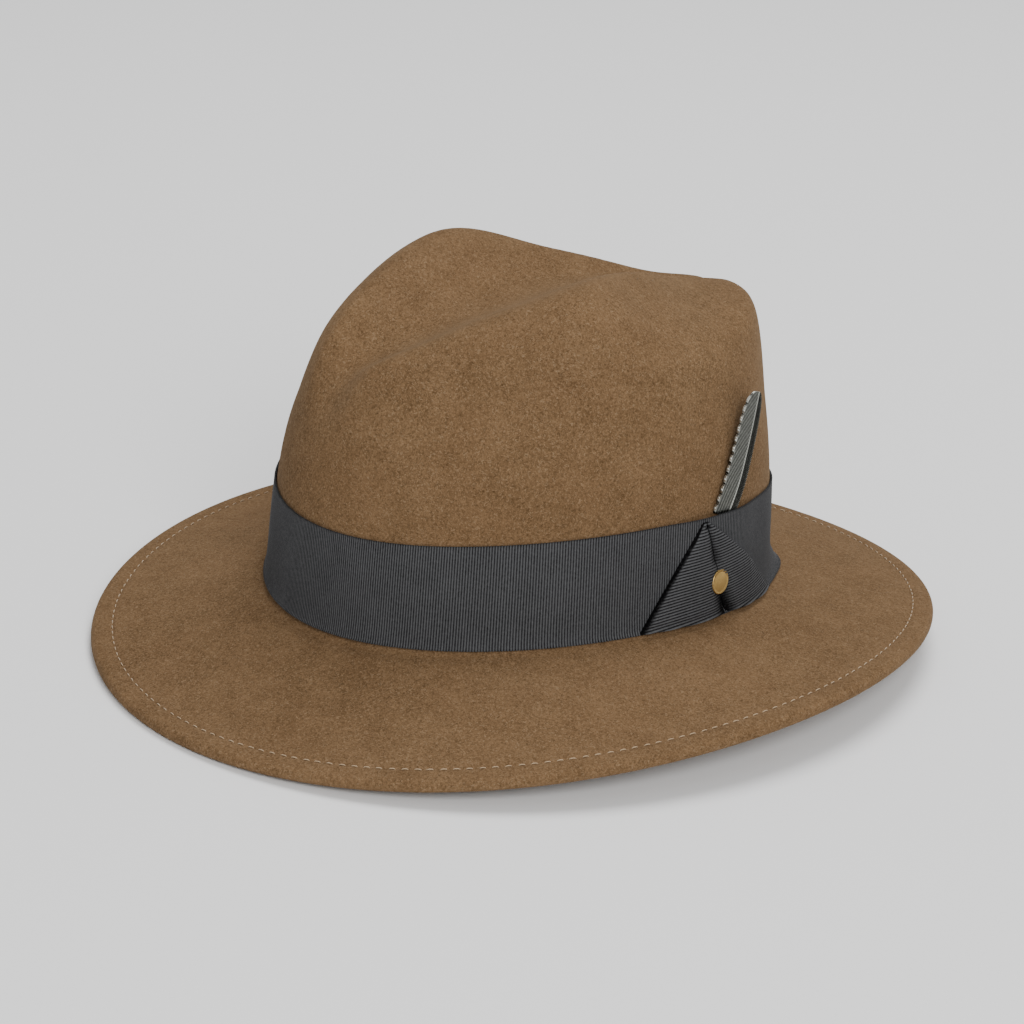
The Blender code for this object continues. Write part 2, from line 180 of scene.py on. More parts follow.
def spline_weights(count, steps):
    """Weights of a clamped cubic B-spline's control points, one row a step."""
    knots = np.array([0.0] * 3 + [k / (count - 3) for k in range(count - 2)] + [1.0] * 3)
    t = np.minimum(np.linspace(0, 1, steps + 1), 1 - 1e-9)[:, None]
    weights = ((knots[:-1] <= t) & (t < knots[1:])).astype(float)
    for degree in (1, 2, 3):
        span = knots[degree:] - knots[:-degree]
        safe = np.where(span > 0, span, 1.0)
        rise = np.where(span > 0, (t - knots[:-degree]) / safe, 0.0)
        fall = np.where(span > 0, (knots[degree:] - t) / safe, 0.0)
        weights = rise[:, :-1] * weights[:, :-1] + fall[:, 1:] * weights[:, 1:]
    return weights


CROWN_STEPS = 240
CROWN_WEIGHTS = spline_weights(9, CROWN_STEPS)


def crown(phi):
    """The crown's outside: for each phi a line of points from the brim line to the top."""
    phi = np.asarray(phi)[:, None]
    fold = np.abs((phi + math.pi) % TURN - math.pi)
    pinch = PINCH_DEPTH / 95 * np.exp(-((fold - PINCH_AT) / PINCH_WIDE)**2)
    wave, ones = np.cos(2 * phi), np.ones_like(phi)
    once = np.cos(phi)
    share = np.hstack([ones, 0.99 + 0.005 * wave, 0.972 + 0.0125 * wave,
                       0.928 + 0.012 * once - 0.0145 * wave - 0.3 * pinch,
                       0.823 + 0.009 * once - 0.0014 * wave - pinch,
                       0.706 - 0.6 * pinch, 0.316 * ones, 0.158 * ones, 0 * ones])
    x, y = oval(phi)
    middle = -SPINE * np.cos(phi)
    cx, cy = share * x, middle + share * (y - middle)
    line = brim_line(phi)
    top = stations(CREST_HEIGHT, cy) - CREST_FALL * (cx / 40)**2
    shoulder = SHOULDER - 6.8 * once + 3.0 * wave
    z = np.hstack([line, 18 + 0.5 * line, 42 * ones, 68 * ones, shoulder, top[:, 5:]])
    points = np.einsum("sk,pkc->psc", CROWN_WEIGHTS, np.stack([cx, cy, z], -1))
    across = np.minimum(np.abs(points[..., 0]) / stations(DENT_HALF_WIDE, points[..., 1]), 1.0)
    fade = np.clip((points[..., 2] - 70) / 20, 0.0, 1.0)
    depth = np.maximum(stations(DENT_DEPTH, points[..., 1]), 0.0)
    points[..., 2] -= fade * depth * (1 - across**2)**2
    fade = np.clip((points[..., 2] - 75) / 30, 0.0, 1.0)
    points[..., 2] += fade * CREST_TWIST * points[..., 0] / 40 * points[..., 1] / 60
    return points


def outward(points):
    """Unit normals of a closed grid of (round, up) points."""
    along = np.roll(points, -1, 0) - np.roll(points, 1, 0)
    up = np.gradient(points, axis=1)
    normal = np.cross(along, up)
    flat = np.linalg.norm(normal, axis=-1) < 1e-9
    normal[flat] = (0.0, 0.0, 1.0)
    return normal / np.linalg.norm(normal, axis=-1, keepdims=True)


# The wall's points and outward directions, every half degree and every 0.5 mm of height.
WALL_PHI = np.arange(720) * TURN / 720
WALL_Z = np.arange(-6.0, 62.0, 0.5)
WALL_STEPS = CROWN_STEPS * 3 // 5
WALL = np.stack([[np.interp(WALL_Z, line[:WALL_STEPS, 2], line[:WALL_STEPS, axis])
                  for axis in range(3)] for line in crown(WALL_PHI)], 0).transpose(0, 2, 1)
WALL[..., 2] = WALL_Z
WALL_OUT = outward(WALL)


def on_wall(phi, z, out=0.0):
    """Points off the crown's wall at heights z, moved out from the felt."""
    phi, z, out = np.broadcast_arrays(phi, z, out)
    a = (phi % TURN) / TURN * 720
    b = np.clip((z - WALL_Z[0]) / 0.5, 0, len(WALL_Z) - 1.001)
    i, j = np.floor(a).astype(int), np.floor(b).astype(int)
    s, t = (a - i)[..., None], (b - j)[..., None]
    i, k = i % 720, (i + 1) % 720

    def read(table):
        low = table[i, j] * (1 - s) + table[k, j] * s
        high = table[i, j + 1] * (1 - s) + table[k, j + 1] * s
        return low * (1 - t) + high * t

    return read(WALL) + read(WALL_OUT) * out[..., None]


def pocket(phi, z):
    """How far the ribbon stands off the felt to let the feather in."""
    away = (phi - FEATHER_FOOT + math.radians(2.0)) / POCKET_WIDE
    depth = np.interp(z, (0.0, 22.0, RIBBON_HIGH), (0.0, POCKET_LOW, POCKET))
    return depth * np.exp(-away**4)


def foot_flare(phi):
    """1 behind the tab, where the foot of the ribbon stands off the felt, fading to 0."""
    return np.exp(-((phi % TURN - FOOT_FLARE_AT) / math.radians(14))**2)


def ribbon_stand(phi, z):
    """The ribbon's back, out from the wall: over the feather's stem, and out over the break."""
    base = brim_top(phi, BREAK_RADIUS)
    rise = np.clip(z - base, 0.0, BREAK_RADIUS)
    flare = BREAK_RADIUS - np.sqrt(BREAK_RADIUS**2 - (BREAK_RADIUS - rise)**2)
    above = np.maximum(z - RIBBON_LOW - brim_line(phi), 0)
    flare = flare + foot_flare(phi) * FOOT_FLARE * np.exp(-(above / 8.5)**2)
    soft = 0.9 * np.exp(-above / 3.5)
    return CLEAR + pocket(phi, z) + np.maximum(flare, 0) * 0.8 + soft


# ---------------------------------------------------------------- meshes

def mesh_piece(name, points, faces, marks=None, smooth=True):
    data = bpy.data.meshes.new(name)
    data.from_pydata(world(points).tolist(), [], faces)
    for key, values in (marks or {}).items():
        mark = data.attributes.new(key, "FLOAT", "POINT")
        mark.data.foreach_set("value", np.asarray(values, dtype=np.float32).ravel())
    data.polygons.foreach_set("use_smooth", [smooth] * len(data.polygons))
    obj = bpy.data.objects.new(name, data)
    bpy.context.scene.collection.objects.link(obj)
    return obj


def grid_faces(rows, columns, wrap=True, start=0, flip=False):
    last = columns if wrap else columns - 1
    i, j = np.meshgrid(np.arange(rows - 1), np.arange(last), indexing="ij")
    a = start + i * columns + j
    b = start + i * columns + (j + 1) % columns
    quads = np.stack([a, b, b + columns, a + columns], -1).reshape(-1, 4)
    return (quads[:, ::-1] if flip else quads).tolist()


def weld(obj):
    """Join points that coincide, such as a closed top's."""
    mesh = bmesh.new()
    mesh.from_mesh(obj.data)
    bmesh.ops.remove_doubles(mesh, verts=mesh.verts, dist=0.02 * MM)
    bmesh.ops.dissolve_degenerate(mesh, edges=mesh.edges, dist=0.000002)
    bmesh.ops.recalc_face_normals(mesh, faces=mesh.faces)
    mesh.to_mesh(obj.data)
    mesh.free()
    return obj


def shell(name, front, back, wrap=True, marks=None):
    """A closed cloth of two grids of the same size, joined round their edges."""
    rows, columns = front.shape[:2]
    points = np.concatenate([front.reshape(-1, 3), back.reshape(-1, 3)])
    faces = grid_faces(rows, columns, wrap)
    faces += grid_faces(rows, columns, wrap, rows * columns, flip=True)
    size = rows * columns
    last = columns if wrap else columns - 1
    for j in range(last):
        k = (j + 1) % columns
        faces.append([k, j, size + j, size + k])
        top = (rows - 1) * columns
        faces.append([top + j, top + k, size + top + k, size + top + j])
    if not wrap:
        for i in range(rows - 1):
            a, b = i * columns, (i + 1) * columns
            faces.append([a, b, size + b, size + a])
            a, b = a + columns - 1, b + columns - 1
            faces.append([b, a, size + a, size + b])
    both = {key: np.concatenate([values.ravel()] * 2) for key, values in (marks or {}).items()}
    obj = mesh_piece(name, points, faces, both)
    round_shading(obj)
    return obj


def round_shading(obj):
    """Outward normals, with edges over 60 degrees kept sharp."""
    mesh = bmesh.new()
    mesh.from_mesh(obj.data)
    bmesh.ops.recalc_face_normals(mesh, faces=mesh.faces)
    mesh.to_mesh(obj.data)
    mesh.free()
    obj.data.set_sharp_from_angle(angle=math.radians(60))


def tube(centres, ups, radii, sides=8, closed=True):
    """Points and faces of a round cord through the centres."""
    count = len(centres)
    if closed:
        ahead = np.roll(centres, -1, 0) - np.roll(centres, 1, 0)
    else:
        ahead = np.gradient(centres, axis=0)
    ahead = ahead / np.linalg.norm(ahead, axis=1, keepdims=True)
    up = ups - ahead * np.sum(ups * ahead, axis=1, keepdims=True)
    up = up / np.linalg.norm(up, axis=1, keepdims=True)
    side = np.cross(ahead, up)
    turn = np.arange(sides) * TURN / sides
    ring = (np.cos(turn)[None, :, None] * up[:, None] + np.sin(turn)[None, :, None]
            * side[:, None])
    points = centres[:, None] + ring * np.broadcast_to(radii, count)[:, None, None]
    if closed:
        points = np.concatenate([points, points[:1]])
    faces = grid_faces(len(points), sides)
    if not closed:
        faces += [list(range(sides))[::-1], list(range((count - 1) * sides, count * sides))]
    return points.reshape(-1, 3), faces


def lathe(profile, place, out, sides=96):
    """Points and faces turned from (radius, height) pairs about the direction out."""
    axis = Vector(out).normalized()
    turn = np.array(axis.to_track_quat("Z", "Y").to_matrix())
    angles = np.arange(sides) * TURN / sides
    rows = [np.stack([r * np.cos(angles), r * np.sin(angles), np.full(sides, h)], -1)
            for r, h in profile]
    points = np.concatenate(rows) @ turn.T + place
    return points, grid_faces(len(profile), sides)


def put(obj, finish, slot, *nodes, body="hat"):
    """Give a piece its finish, the body it rides and what it stands for; slot is not used."""
    obj.data.materials.clear()
    obj.data.materials.append(finish.material)
    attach(obj, body)
    if nodes:
        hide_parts(*nodes)
    return obj


# ---------------------------------------------------------------- finishes

class Value:
    """A socket of a finish, with arithmetic that adds Math nodes."""

    def __init__(self, finish, socket):
        self.finish, self.socket = finish, socket

    def math(self, operation, first, second=None, clamp=False):
        inputs = {0: first} if second is None else {0: first, 1: second}
        return self.finish.node("Math", {"operation": operation, "use_clamp": clamp}, inputs)

    def __add__(self, other):
        return self.math("ADD", self, other)

    def __sub__(self, other):
        return self.math("SUBTRACT", self, other)

    def __rsub__(self, other):
        return self.math("SUBTRACT", other, self)

    def __mul__(self, other):
        return self.math("MULTIPLY", self, other)

    def __pow__(self, other):
        return self.math("POWER", self, other)

    __radd__ = __add__
    __rmul__ = __mul__

    def clamped(self):
        return self.math("ADD", self, 0.0, clamp=True)

    def sine(self):
        return self.math("SINE", self)


class Finish:
    """A material whose nodes are written as expressions."""

    def __init__(self, name, **constants):
        self.material = bpy.data.materials.new(name)
        self.material.use_nodes = True
        self.tree = self.material.node_tree
        self.shader = self.tree.nodes["Principled BSDF"]
        for socket, value in constants.items():
            self.shader.inputs[socket.replace("_", " ")].default_value = value
        self.place = self.node("TexCoord", output="Object")

    def node(self, kind, settings=None, inputs=None, output=0):
        made = self.tree.nodes.new("ShaderNode" + kind)
        for key, value in (settings or {}).items():
            if key == "stops":
                ramp = made.color_ramp.elements
                while len(ramp) < len(value):
                    ramp.new(0.5)
                for stop, (at, shade) in zip(ramp, value):
                    stop.position, stop.color = at, (shade, shade, shade, 1)
            else:
                setattr(made, key, value)
        for key, value in (inputs or {}).items():
            self.join(value, made.inputs[key])
        return Value(self, made.outputs[output])

    def join(self, value, socket):
        if isinstance(value, Value):
            self.tree.links.new(value.socket, socket)
        else:
            socket.default_value = value

    def drive(self, socket, value):
        self.join(value, self.shader.inputs[socket])

    def noise(self, size_mm, detail=3.0, rough=0.55, warp=0.0):
        """Even noise from 0 to 1 whose blotches are about size_mm across."""
        return self.node("TexNoise", None, {
            "Vector": self.place, "Scale": 500.0 / size_mm, "Detail": detail,
            "Roughness": rough, "Distortion": warp})

    def mark(self, name):
        return self.node("Attribute", {"attribute_name": name}, output="Fac")

    def ramp(self, value, *stops):
        return self.node("ValToRGB", {"stops": stops}, {0: value})

    def shade(self, factor, one, other):
        return self.node("Mix", {"data_type": "RGBA"}, {0: factor, 6: one, 7: other}, 2)

    def bump(self, height, depth_mm, strength=1.0):
        self.drive("Normal", self.node("Bump", None, {
            "Strength": strength, "Distance": depth_mm * MM, "Height": height}))


def colour(red, green, blue):
    return (red, green, blue, 1.0)


def felt_finish():
    finish = Finish("brushed_fur_felt", Roughness=0.95, Sheen_Weight=0.08, Sheen_Roughness=0.45,
                    Sheen_Tint=colour(0.80, 0.62, 0.42), Specular_IOR_Level=0.03)
    cloud = finish.noise(34.0, 3.0, 0.55)
    blotch = finish.noise(6.0, 3.0, 0.6)
    tuft = finish.noise(0.9, 2.0, 0.6, warp=0.8)
    hair = finish.noise(0.40, 1.0, 0.5, warp=1.0)
    light_hair = finish.ramp(finish.noise(0.50, 1.0, 0.5, warp=1.6), (0.58, 0.0), (0.68, 1.0))
    dark_hair = finish.ramp(finish.noise(0.60, 1.0, 0.5, warp=1.6), (0.32, 1.0), (0.42, 0.0))
    tone = (cloud * 0.45 + blotch * 0.50 + tuft * 0.55 + hair * 1.40 - 0.95).clamped()
    base = finish.shade(tone, colour(0.060, 0.034, 0.0145), colour(0.230, 0.142, 0.074))
    warm = finish.shade(finish.noise(13.0) * 0.40, base, colour(0.135, 0.072, 0.034))
    flecked = finish.shade(light_hair * 0.30, warm, colour(0.34, 0.24, 0.145))
    finish.drive("Base Color", finish.shade(dark_hair * 0.34, flecked,
                                            colour(0.050, 0.030, 0.014)))
    finish.bump(hair * 0.8 + tuft * 0.6 + blotch * 0.3, 0.22, 0.9)
    return finish


def thread_finish():
    finish = Finish("tan_thread", Roughness=0.65, Sheen_Weight=0.25)
    ply = (finish.mark("along") * (TURN / 0.55) + finish.mark("around") * 2.0).sine()
    tone = ply * 0.35 + finish.noise(0.6) * 0.5 + 0.25
    finish.drive("Base Color", finish.shade(tone.clamped(), colour(0.26, 0.165, 0.085),
                                            colour(0.60, 0.44, 0.27)))
    finish.bump(ply, 0.05, 0.7)
    return finish


def grosgrain_finish():
    finish = Finish("black_grosgrain", Roughness=0.7, Specular_IOR_Level=0.05)
    rib = finish.mark("rib")
    yarn = finish.noise(0.5, 3.0, 0.65)
    wear_and_painted_light = finish.noise(6.0, 3.0, 0.55)
    # Painted shade and highlight: rib crests are coloured lighter and the troughs between them
    # darker; the yarn and slow noise add random tone.
    tone = (rib**1.7 * 0.85 + yarn * 0.60 + wear_and_painted_light * 0.15 - 0.38).clamped()
    finish.drive("Base Color", finish.shade(tone, colour(0.0016, 0.0016, 0.0018),
                                            colour(0.100, 0.101, 0.105)))
    finish.drive("Roughness", 0.74 - rib * 0.16 + wear_and_painted_light * 0.06)
    finish.bump(yarn * 0.6 + rib * 0.4, 0.10, 0.6)
    return finish


def brass_finish():
    finish = Finish("antique_gilt", Metallic=1.0)
    grain = finish.noise(0.35, 3.0, 0.7)
    wear = finish.noise(1.6, 3.0, 0.6)
    tone = (grain * 0.6 + wear * 0.6 - 0.1).clamped()
    finish.drive("Base Color", finish.shade(tone, colour(0.27, 0.165, 0.050),
                                            colour(0.66, 0.455, 0.170)))
    finish.drive("Roughness", 0.30 + grain * 0.22)
    finish.bump(grain, 0.02, 0.5)
    return finish


def pewter_finish():
    finish = Finish("antique_pewter", Metallic=1.0)
    raised = finish.mark("raised")
    grain = finish.noise(0.4, 3.0, 0.65)
    tone = (raised**2.0 * 1.05 + grain * 0.35 - 0.24).clamped()
    finish.drive("Base Color", finish.shade(tone, colour(0.010, 0.010, 0.008),
                                            colour(0.66, 0.67, 0.61)))
    finish.drive("Roughness", 0.52 - raised * 0.22 + grain * 0.08)
    finish.bump(grain, 0.03, 0.5)
    return finish


def leather_finish():
    finish = Finish("roan_leather", Roughness=0.42, Specular_IOR_Level=0.4)
    pore = finish.node("TexVoronoi", {"feature": "DISTANCE_TO_EDGE"},
                       {"Vector": finish.place, "Scale": 900.0}, "Distance")
    cloud = finish.noise(12.0, 3.0, 0.55)
    grain = finish.ramp(pore, (0.0, 0.0), (0.12, 1.0))
    tone = (cloud * 0.6 + grain * 0.35 - 0.05).clamped()
    finish.drive("Base Color", finish.shade(tone, colour(0.060, 0.026, 0.011),
                                            colour(0.150, 0.072, 0.032)))
    finish.drive("Roughness", 0.36 + cloud * 0.2)
    finish.bump(grain, 0.06, 0.6)
    return finish


def satin_finish():
    finish = Finish("lining_satin", Sheen_Weight=0.2, Sheen_Roughness=0.3,
                    Specular_IOR_Level=0.6)
    warp = finish.noise(0.28, 2.0, 0.6)
    cloud = finish.noise(20.0, 2.0, 0.5)
    tone = (warp * 0.5 + cloud * 0.5).clamped()
    finish.drive("Base Color", finish.shade(tone, colour(0.085, 0.055, 0.034),
                                            colour(0.175, 0.120, 0.078)))
    finish.drive("Roughness", 0.32 + cloud * 0.16)
    finish.bump(warp, 0.03, 0.5)
    return finish


def reed_finish():
    finish = Finish("reed_plastic", Roughness=0.35)
    cloud = finish.noise(5.0)
    finish.drive("Base Color", finish.shade(cloud, colour(0.22, 0.15, 0.085),
                                            colour(0.34, 0.25, 0.15)))
    finish.drive("Roughness", 0.3 + cloud * 0.15)
    return finish


# ---------------------------------------------------------------- the felt

def lumps(points, size, seed):
    """Slow unevenness of a hand-shaped surface, from -1 to 1."""
    random = np.random.default_rng(seed)
    total = np.zeros(points.shape[:-1])
    for _ in range(14):
        way = random.normal(size=3)
        way *= TURN / size / np.linalg.norm(way) * random.uniform(0.6, 1.4)
        total += np.sin(points @ way + random.uniform(0, TURN))
    return total / 4.5


def brim_grid(phi, outs, drop):
    """Rows of the brim surface at the given widths, each drop mm below the top."""
    rows = []
    for out, depth in zip(outs, drop):
        rows.append(brim_point(phi, out) - depth * brim_up(phi, out))
    return rows


def make_felt(finish):
    phi = np.arange(380) * TURN / 380
    double, roll = 2 * FELT, 2.35
    angle = np.radians(np.arange(-90, 91, 15))
    edge_out = BRIM - roll + roll * np.cos(angle)
    edge_drop = double / 2 + double / 2 * np.sin(angle)
    outs = np.concatenate([[BREAK_RADIUS * f for f in (0.0, 0.03, 0.1, 0.22, 0.4, 0.65)],
                           np.linspace(BREAK_RADIUS, BRIM - STITCH_IN - 2.5, 34)])
    near = BRIM - STITCH_IN + np.array([-1.9, -1.3, -0.8, -0.45, -0.2, 0, 0.2, 0.45, 0.8, 1.3,
                                        1.9, 2.7, 3.6, 4.5, 5.4])
    sink = 0.32 * np.exp(-((near - BRIM + STITCH_IN) / 0.9)**2)
    puff = -0.12 * np.exp(-((near - BRIM + STITCH_IN - 3.2) / 2.0)**2)
    top = brim_grid(phi, outs, outs * 0)
    top += brim_grid(phi, near, sink + puff)
    around = brim_grid(phi, edge_out, edge_drop)
    under = brim_grid(phi, near[::-1], double - sink[::-1])
    step = BRIM - WELT_IN
    under += brim_grid(phi, [step + 0.3, step, step - 0.25, step - 0.5],
                       [double - 0.15, double - 0.8, FELT + 0.6, FELT + 0.1])
    under += brim_grid(phi, outs[outs < step - 1][::-1], FELT + 0 * outs[outs < step - 1])
    lines = crown(phi)
    normals = outward(lines)
    first = brim_top(phi, BREAK_RADIUS) + BREAK_RADIUS + 1.5
    start = np.array([np.interp(z, line[:WALL_STEPS, 2], np.arange(WALL_STEPS))
                      for z, line in zip(first, lines)])
    share = np.linspace(0, 1, 100)
    outside, inside = [], []
    for s in share:
        place = np.minimum(start + (CROWN_STEPS - start) * s, CROWN_STEPS - 1e-6)
        low = np.floor(place).astype(int)
        part = (place - low)[:, None]
        index = np.arange(len(phi))
        point = lines[index, low] * (1 - part) + lines[index, low + 1] * part
        normal = normals[index, low] * (1 - part) + normals[index, low + 1] * part
        if s == 1:
            normal[:, 0] = 0
        normal /= np.linalg.norm(normal, axis=1, keepdims=True)
        outside.append(point)
        inside.append(point - FELT * normal)
    rows = outside[::-1] + top + around + under + inside[::3]
    grid = np.array(rows)
    high = np.clip((grid[..., 2] - 45) / 25, 0.0, 1.0)
    grid[..., 2] += lumps(grid, 55.0, 4) * 0.35 * high
    obj = mesh_piece("felt_hat", grid.reshape(-1, 3), grid_faces(len(rows), len(phi)))
    weld(obj)
    return put(obj, finish, "fur_felt", "felt_body")


def make_stitches(finish):
    """Separate stitches, sunk a little into the felt on each side of the brim."""
    at = BRIM - STITCH_IN
    phi = np.linspace(0, TURN, 4001)[:-1]
    line = brim_point(phi, at)
    run = np.concatenate([[0], np.cumsum(np.linalg.norm(np.diff(line, axis=0), axis=1))])
    count = int(run[-1] / STITCH_PITCH)
    random = np.random.default_rng(7)
    for name, height, node, share in (("stitches_top", -0.22, "brim_thread_top", 0.58),
                                      ("stitches_under", 0.32 - 2 * FELT,
                                       "brim_thread_under", 0.66)):
        points, faces, along, around = [], [], [], []
        start = 0
        for k in range(count):
            pitch = run[-1] / count
            long = pitch * share * random.uniform(0.92, 1.06)
            middle = (k + 0.5 + random.uniform(-0.04, 0.04)) * pitch
            t = np.linspace(-1, 1, 9)
            where = np.interp(middle + t * long / 2, run, phi)
            up = brim_up(where, at)
            side = brim_point(where, at + 0.5) - brim_point(where, at - 0.5)
            sink = 0.45 * np.abs(t)**3 * np.sign(height + 1)
            sway = random.uniform(-0.10, 0.10) * t
            centre = (brim_point(where, at) + up * (height + 0.25 * np.sign(height + 1)
                      - sink)[:, None] + side * sway[:, None])
            radius = 0.22 * np.sqrt(np.clip(1.02 - t**4, 0.05, 1))
            p, f = tube(centre, up, radius, 7, closed=False)
            points.append(p)
            faces += [[i + start for i in face] for face in f]
            start += len(p)
            along.append(np.repeat(middle + t * long / 2, 7))
            around.append(np.tile(np.arange(7) * TURN / 7, 9))
        obj = mesh_piece(name, np.concatenate(points), faces,
                         {"along": np.concatenate(along), "around": np.concatenate(around)})
        put(obj, finish, "brim_thread", node)


# ---------------------------------------------------------------- the band and its tab

def make_band(finish):
    columns = RIBS * COLUMNS_A_RIB
    phi = np.arange(columns) * TURN / columns
    ridge = np.abs(np.cos(np.pi * np.arange(columns) / COLUMNS_A_RIB))**0.8
    shares = np.concatenate([[0, 0.008, 0.02], np.linspace(0.045, 0.955, 9), [0.98, 0.992, 1]])
    edge = np.minimum(1, np.minimum(shares, 1 - shares) / 0.012)
    front, back, rib = [], [], []
    for share, soft in zip(shares, edge):
        scallop = 0.18 * (ridge - 0.5) * (share - 0.5) * 2 * (1 - soft)
        z = ribbon_edge(phi, share) + scallop - 0.9 * foot_flare(phi) * (1 - share)**6
        stand = ribbon_stand(phi, z)
        dimple = 0.7 * np.exp(-((phi - math.radians(53.5)) / 0.012)**2
                              - ((share - 0.43) / 0.03)**2)
        wave = 0.12 * np.sin(3 * phi + 1) + 0.08 * np.sin(7 * phi)
        body = 0.32 + 0.30 * ridge + 0.10 * (1 - soft)
        front.append(on_wall(phi, z, stand + body - dimple + wave * (1 - share) + 0.15))
        back.append(on_wall(phi, z, stand + wave * (1 - share) + 0.1 - dimple * 0.5))
        # The rib mark drives painted rib shade in the grosgrain: lighter crests, darker
        # troughs.
        rib.append(ridge * (0.75 + 0.25 * soft))
    obj = shell("ribbon", np.array(front), np.array(back), marks={"rib": np.array(rib)})
    put(obj, finish, "grosgrain", "ribbon_band")


def smooth(x):
    """0 to 1 with soft ends."""
    x = np.clip(x, 0, 1)
    return x * x * (3 - 2 * x)


def make_fold(name, node, finish, corner, side):
    """One half of the tab: ribs along the brim, drawn in at the apex, puffed between."""
    rows, columns = 236, 44
    share = np.linspace(0.0, 1.0, rows)[:, None]
    t = np.linspace(0, 1, columns)[None, :]
    seam = TAB_SEAM + (TAB_APEX - TAB_SEAM) * share**0.72
    outer = corner + (TAB_APEX + side * 0.008 - corner) * share
    phi = seam + side * 0.0035 + (outer - seam) * t
    height = 0.015 + 0.955 * share
    z = ribbon_edge(phi, height) - 0.3 * (1 - share)**6
    fan = t * (1 - share) * side
    step = z - ribbon_edge(phi, 0.0) - 3.2 * fan - 0.55 * np.sin(np.pi * t) * (1 - share)
    ridge = np.abs(np.cos(np.pi * step / TAB_RIB))**0.8
    tuck = smooth(share / 0.10)
    crease = np.exp(-(t / 0.10)**2) * smooth(abs(share - 0.52) / 0.1) * (1.15 - share)
    hole = np.exp(-((share - 0.955) / 0.014)**2 - (t / 0.35)**2)
    puff = np.sin(np.pi * np.clip(t * 0.9 + 0.08, 0, 1))**0.8
    gather = 1.0 - 0.85 * smooth((share - 0.80) / 0.2)
    stand = (ribbon_stand(phi, z) + RIBBON + 0.35
             + 1.35 * puff * gather * (0.5 + 0.5 * (1 - share)) + 0.75 * gather
             - 0.95 * crease - 0.8 * hole)
    lower = 0.95 * (1 - tuck)
    ridge = ridge * (0.25 + 0.75 * smooth((1 - t) / 0.07))
    front = on_wall(phi, z, stand + 0.34 + 0.34 * ridge - lower * 0.9)
    edge = smooth(t / 0.05) * smooth((1 - t) / 0.05)
    back = on_wall(phi, z + 0.25 * (1 - tuck), stand * (0.35 + 0.3 * edge) + 0.62)
    # The fold's rib mark carries painted light: painted shade in the crease and in the hole at
    # the apex, over the painted rib shading.
    wear_and_painted_light = ridge * (1 - 0.8 * crease) * (1 - hole)
    # Painted shade along the front fold's outer edge, and a thin painted highlight along the
    # back fold's outer edge.
    if side < 0:
        wear_and_painted_light = wear_and_painted_light * smooth(0.25 + (1 - t) / 0.05)
    else:
        wear_and_painted_light = np.maximum(wear_and_painted_light, 0.9 * np.exp(-((1 - t) / 0.03)**2))
    obj = shell(name, front if side > 0 else front[:, ::-1],
                back if side > 0 else back[:, ::-1], wrap=False,
                marks={"rib": wear_and_painted_light if side > 0 else wear_and_painted_light[:, ::-1]})
    put(obj, finish, "grosgrain", node)


def make_stud(finish):
    place = on_wall(STUD_AT, STUD_HEIGHT)
    out = on_wall(STUD_AT, STUD_HEIGHT, 1.0) - place
    lean = out + 0.02 * np.array([0, 0, 1])
    base = 4.05
    radius = STUD_RADIUS
    profile = [(0.0, base - 2.6), (0.6, base - 2.6), (0.6, base), (radius - 0.35, base),
               (radius - 0.1, base + 0.08), (radius, base + 0.28), (radius, base + 0.75),
               (radius - 0.08, base + 0.93), (radius - 0.28, base + 1.02),
               (radius - 0.48, base + 0.98), (radius - 0.62, base + 0.88),
               (radius - 1.2, base + 0.93), (radius * 0.45, base + 1.0), (0.0, base + 1.03)]
    points, faces = lathe(profile, place, lean / np.linalg.norm(lean))
    obj = weld(mesh_piece("stud", points, faces))
    obj.data.set_sharp_from_angle(angle=math.radians(50))
    put(obj, finish, "stud_brass", "stud_head")


# ---------------------------------------------------------------- the feather

def feather_axes():
    """The feather's foot at the ribbon's top edge, and its long, wide and outward ways."""
    z = ribbon_edge(FEATHER_FOOT, 1.0)
    out = on_wall(FEATHER_FOOT, z - 8, 1.0) - on_wall(FEATHER_FOOT, z - 8)
    up = np.array((0.0, 0.0, 1.0))
    up = up - out * (up @ out)
    up /= np.linalg.norm(up)
    across = np.cross(up, out)
    long = up * math.cos(FEATHER_LEAN) + across * math.sin(FEATHER_LEAN)
    return on_wall(FEATHER_FOOT, z) + out * (CLEAR + 0.1), long, np.cross(long, out), out


